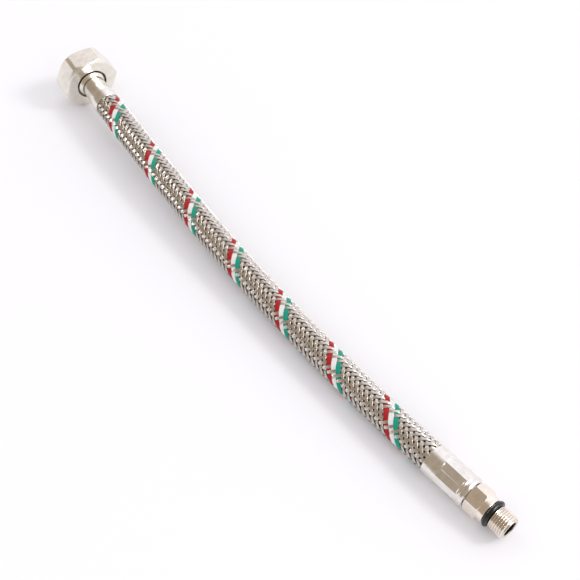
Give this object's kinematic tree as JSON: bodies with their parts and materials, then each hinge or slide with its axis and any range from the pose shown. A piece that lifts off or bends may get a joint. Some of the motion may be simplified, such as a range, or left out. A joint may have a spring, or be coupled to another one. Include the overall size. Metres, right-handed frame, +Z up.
{
  "type": "braided tap connector",
  "caption": "Short steel-braided flexible hose with a swivel hexagon union nut on one end and a threaded male tail with an O-ring on the other.",
  "frame": {"origin": "under the middle of the box round the two end fittings, on the surface that the connector lies on", "axes": "+X from the nut to the tail along the nut's axis, +Z up, +Y to the side that the hose bends to"},
  "size_m": [0.2932, 0.0438, 0.024],
  "materials": {
    "plated_nut": "bright nickel plate on brass",
    "washer_rubber": "matt black rubber",
    "plated_nipple": "nickel plate on brass",
    "ferrule_steel": "polished stainless steel",
    "hose_rubber": "matt black rubber",
    "braid_wire": "bright stainless wire",
    "red_strand": "red plastic yarn",
    "white_strand": "white plastic yarn",
    "green_strand": "green plastic yarn",
    "plated_tail": "bright nickel plate on brass",
    "o_ring_rubber": "glossy black rubber"
  },
  "bodies": {
    "hose_assembly": {"sealing_washer": "washer_rubber", "swivel_nipple": "plated_nipple", "nut_end_ferrule": "ferrule_steel", "inner_hose": "hose_rubber", "steel_braid": "braid_wire", "red_tracer_strand": "red_strand", "white_tracer_strand": "white_strand", "green_tracer_strand": "green_strand", "tail_ferrule": "ferrule_steel", "threaded_tail": "plated_tail", "o_ring": "o_ring_rubber"},
    "nut": {"union_nut": "plated_nut"}
  },
  "joints": [
    {"name": "nut_spin", "type": "hinge", "parent": "hose_assembly", "child": "nut", "pos_m": [-0.14103, -0.00855, 0.012], "axis": [1, 0, 0], "continuous": true}
  ]
}
